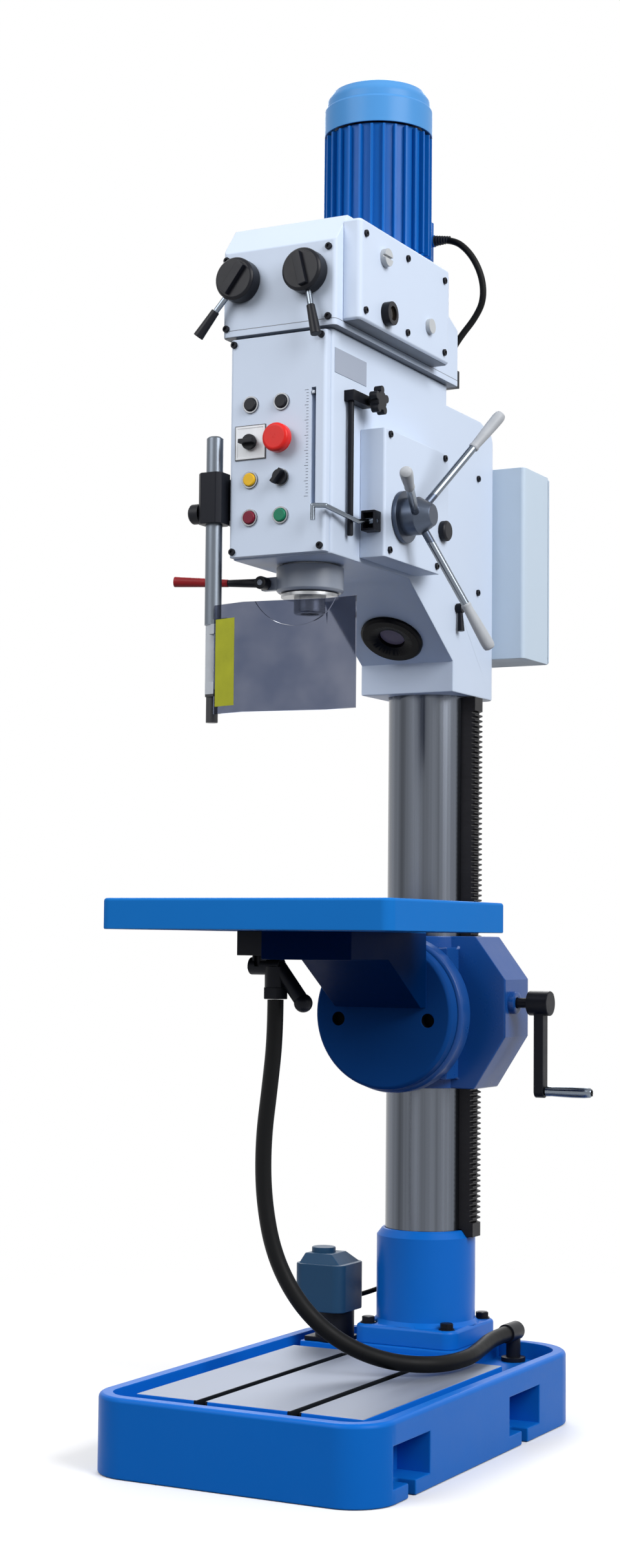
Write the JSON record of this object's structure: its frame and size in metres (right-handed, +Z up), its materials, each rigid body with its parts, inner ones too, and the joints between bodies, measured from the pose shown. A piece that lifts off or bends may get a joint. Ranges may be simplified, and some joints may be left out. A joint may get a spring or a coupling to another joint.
{
  "type": "geared pillar drill",
  "caption": "Floor-standing geared pillar drill: T-slotted base, steel column with rack-raised tilting table, geared head with quill feed, hinged clear guard and vertical motor.",
  "frame": {"origin": "on the floor under the column axis", "axes": "+Z up the column, +X to the operator's right, -Y to the front where the operator stands"},
  "size_m": [0.605, 0.967, 2.38],
  "materials": {
    "blue_paint": "satin enamel",
    "motor_blue": "satin enamel",
    "cowl_blue": "satin enamel",
    "head_paint": "fine-textured enamel",
    "cabinet_paint": "powder coat",
    "steel": "ground",
    "rack_steel": "oiled dark steel",
    "chrome": "polished",
    "gear_steel": "machined",
    "black_metal": "black oxide",
    "black_plastic": "moulded",
    "hose_rubber": "smooth hose",
    "grip_plastic": "moulded",
    "red_plastic": "moulded",
    "dark_red_plastic": "moulded",
    "yellow_plastic": "moulded",
    "green_plastic": "moulded",
    "clear_sheet": "clear sheet",
    "pump_teal": "satin enamel",
    "lamp_black": "moulded bezel with lens"
  },
  "bodies": {
    "frame": {"base_casting": "blue_paint", "base_fittings": "black_plastic", "column_foot": "blue_paint", "column_tube": "steel", "head_casting": "head_paint", "gearbox_housing": "head_paint", "gearbox_side_cover": "head_paint", "machine_screws": "black_metal", "oil_fittings": "black_metal", "control_panel": "head_paint", "control_bezels": "chrome", "motor_frame": "motor_blue", "motor_cowl": "cowl_blue", "motor_cable": "hose_rubber", "electrical_cabinet": "cabinet_paint", "feed_gearcase": "head_paint", "work_lamp": "lamp_black", "guard_clamp": "black_metal", "coolant_pump": "pump_teal", "pump_cable": "hose_rubber", "stop_bracket": "black_metal"},
    "swing": {"column_rack": "rack_steel", "hose_lower": "hose_rubber"},
    "carriage": {"table_bracket": "blue_paint", "hose_middle": "hose_rubber"},
    "table": {"work_table": "blue_paint", "table_drain": "black_metal", "hose_upper": "hose_rubber"},
    "lift_gear": {"elevating_pinion": "gear_steel"},
    "crank": {"table_crank": "black_metal"},
    "crank_grip": {"crank_handle": "chrome"},
    "lock": {"table_lock": "black_metal"},
    "rotor": {"motor_rotor": "gear_steel"},
    "shaft_rear": {"layshaft_rear": "gear_steel"},
    "shaft_front": {"layshaft_front": "gear_steel"},
    "sleeve_gear": {"spindle_gear": "gear_steel"},
    "quill": {"quill_sleeve": "steel"},
    "spindle": {"spindle": "steel"},
    "collar_arm": {"collar_lever": "red_plastic"},
    "feed": {"feed_handle": "chrome", "feed_grips": "grip_plastic"},
    "clutch": {"clutch_knob": "black_plastic"},
    "shift_left": {"shift_lever_left": "black_plastic"},
    "shift_right": {"shift_lever_right": "black_plastic"},
    "jog_left": {"button_jog_left": "black_plastic"},
    "jog_right": {"button_jog_right": "black_plastic"},
    "coolant": {"button_coolant": "yellow_plastic"},
    "off": {"button_off": "dark_red_plastic"},
    "on": {"button_on": "green_plastic"},
    "stop": {"stop_mushroom": "red_plastic"},
    "main_switch": {"selector_main": "black_plastic"},
    "mode_switch": {"selector_mode": "black_plastic"},
    "guard": {"guard_post": "steel", "guard_screen": "clear_sheet"},
    "guard_lock": {"guard_knob": "black_plastic"},
    "depth": {"depth_rod": "black_metal"},
    "star": {"star_knob": "black_plastic"},
    "trip": {"trip_lever": "chrome"},
    "clamp": {"clamp_lever": "black_metal"},
    "door": {"cabinet_door": "cabinet_paint"}
  },
  "joints": [
    {"name": "table_swing", "type": "hinge", "parent": "frame", "child": "swing", "pos_m": [0, 0, 0.8], "axis": [0, 0, 1], "range_deg": [-45, 45], "deforming": ["hose_lower"]},
    {"name": "table_elevation", "type": "slide", "parent": "swing", "child": "carriage", "axis": [0, 0, 1], "range_m": [-0.2, 0.2], "deforming": ["hose_middle"]},
    {"name": "table_tilt", "type": "hinge", "parent": "carriage", "child": "table", "pos_m": [0, -0.16, 0.726], "axis": [0, 1, 0], "range_deg": [-45, 45], "deforming": ["hose_upper"]},
    {"name": "lift_gear_turn", "type": "hinge", "parent": "carriage", "child": "lift_gear", "pos_m": [0.119, 0, 0.747], "axis": [0, 1, 0], "range_deg": [-560, 560]},
    {"name": "crank_turn", "type": "hinge", "parent": "carriage", "child": "crank", "pos_m": [0.2, -0.042, 0.747], "axis": [1, 0, 0], "range_deg": [-1120, 1120]},
    {"name": "crank_grip_spin", "type": "hinge", "parent": "crank", "child": "crank_grip", "pos_m": [0.3, -0.042, 0.592], "axis": [1, 0, 0], "continuous": true},
    {"name": "table_lock_turn", "type": "hinge", "parent": "carriage", "child": "lock", "pos_m": [-0.13, 0.04, 0.726], "axis": [1, 0, 0], "range_deg": [-50, 50]},
    {"name": "rotor_spin", "type": "hinge", "parent": "frame", "child": "rotor", "pos_m": [0, -0.23, 2.1], "axis": [0, 0, 1], "continuous": true},
    {"name": "rear_shaft_spin", "type": "hinge", "parent": "frame", "child": "shaft_rear", "pos_m": [0, -0.312, 1.95], "axis": [0, 0, 1], "continuous": true},
    {"name": "front_shaft_spin", "type": "hinge", "parent": "frame", "child": "shaft_front", "pos_m": [0, -0.394, 1.95], "axis": [0, 0, 1], "continuous": true},
    {"name": "sleeve_gear_spin", "type": "hinge", "parent": "frame", "child": "sleeve_gear", "pos_m": [0, -0.476, 1.9], "axis": [0, 0, 1], "continuous": true},
    {"name": "quill_feed", "type": "slide", "parent": "frame", "child": "quill", "axis": [0, 0, 1], "range_m": [-0.175, 0], "stiffness_N_per_m": 400, "springref_m": 0.8},
    {"name": "spindle_spin", "type": "hinge", "parent": "quill", "child": "spindle", "pos_m": [0, -0.476, 1.6], "axis": [0, 0, 1], "continuous": true},
    {"name": "collar_lever_turn", "type": "hinge", "parent": "quill", "child": "collar_arm", "pos_m": [-0.067, -0.52, 1.453], "axis": [0, 1, 0], "range_deg": [-15, 15]},
    {"name": "feed_turn", "type": "hinge", "parent": "frame", "child": "feed", "pos_m": [0.15, -0.41, 1.567], "axis": [1, 0, 0], "range_deg": [-2, 420]},
    {"name": "clutch_turn", "type": "hinge", "parent": "frame", "child": "clutch", "pos_m": [0.14, -0.25, 1.569], "axis": [1, 0, 0], "range_deg": [-45, 45]},
    {"name": "shift_left_turn", "type": "hinge", "parent": "frame", "child": "shift_left", "pos_m": [-0.07, -0.61, 1.948], "axis": [0, 1, 0], "range_deg": [-35, 35]},
    {"name": "shift_right_turn", "type": "hinge", "parent": "frame", "child": "shift_right", "pos_m": [0.056, -0.61, 1.948], "axis": [0, 1, 0], "range_deg": [-35, 35]},
    {"name": "jog_left_press", "type": "slide", "parent": "frame", "child": "jog_left", "axis": [0, 1, 0], "range_m": [0, 0.003], "stiffness_N_per_m": 400},
    {"name": "jog_right_press", "type": "slide", "parent": "frame", "child": "jog_right", "axis": [0, 1, 0], "range_m": [0, 0.003], "stiffness_N_per_m": 400},
    {"name": "coolant_press", "type": "slide", "parent": "frame", "child": "coolant", "axis": [0, 1, 0], "range_m": [0, 0.003], "stiffness_N_per_m": 400},
    {"name": "off_press", "type": "slide", "parent": "frame", "child": "off", "axis": [0, 1, 0], "range_m": [0, 0.003], "stiffness_N_per_m": 400},
    {"name": "on_press", "type": "slide", "parent": "frame", "child": "on", "axis": [0, 1, 0], "range_m": [0, 0.003], "stiffness_N_per_m": 400},
    {"name": "stop_press", "type": "slide", "parent": "frame", "child": "stop", "axis": [0, 1, 0], "range_m": [0, 0.005], "stiffness_N_per_m": 800},
    {"name": "main_switch_turn", "type": "hinge", "parent": "frame", "child": "main_switch", "pos_m": [-0.05, -0.6, 1.676], "axis": [0, 1, 0], "range_deg": [-90, 90]},
    {"name": "mode_switch_turn", "type": "hinge", "parent": "frame", "child": "mode_switch", "pos_m": [0.008, -0.6, 1.613], "axis": [0, 1, 0], "range_deg": [-45, 45]},
    {"name": "guard_swing", "type": "hinge", "parent": "frame", "child": "guard", "pos_m": [-0.116, -0.6, 1.5], "axis": [0, 0, 1], "range_deg": [-110, 0]},
    {"name": "guard_knob_turn", "type": "hinge", "parent": "frame", "child": "guard_lock", "pos_m": [-0.15, -0.6, 1.563], "axis": [1, 0, 0], "range_deg": [-180, 180]},
    {"name": "depth_rod_slide", "type": "slide", "parent": "frame", "child": "depth", "axis": [0, 0, 1], "range_m": [-0.02, 0.08]},
    {"name": "star_knob_turn", "type": "hinge", "parent": "frame", "child": "star", "pos_m": [0.11, -0.478, 1.753], "axis": [1, 0, 0], "range_deg": [-180, 180]},
    {"name": "trip_lever_turn", "type": "hinge", "parent": "frame", "child": "trip", "pos_m": [0.12, -0.489, 1.549], "axis": [1, 0, 0], "range_deg": [-8, 8]},
    {"name": "clamp_lever_turn", "type": "hinge", "parent": "frame", "child": "clamp", "pos_m": [0.1, -0.084, 1.458], "axis": [1, 0, 0], "range_deg": [-30, 30]},
    {"name": "cabinet_door_swing", "type": "hinge", "parent": "frame", "child": "door", "pos_m": [-0.149, 0.222, 1.56], "axis": [0, 0, 1], "range_deg": [0, 110]}
  ],
  "couplings": [
    {"joint": "lift_gear_turn", "follows": "table_elevation", "rad_per_m": -47.619},
    {"joint": "crank_turn", "follows": "table_elevation", "rad_per_m": 95.238},
    {"joint": "rear_shaft_spin", "follows": "rotor_spin", "ratio": -0.51852},
    {"joint": "front_shaft_spin", "follows": "rotor_spin", "ratio": 0.33185},
    {"joint": "sleeve_gear_spin", "follows": "rotor_spin", "ratio": -0.17207},
    {"joint": "spindle_spin", "follows": "rotor_spin", "ratio": -0.17207},
    {"joint": "feed_turn", "follows": "quill_feed", "rad_per_m": -41.667}
  ]
}
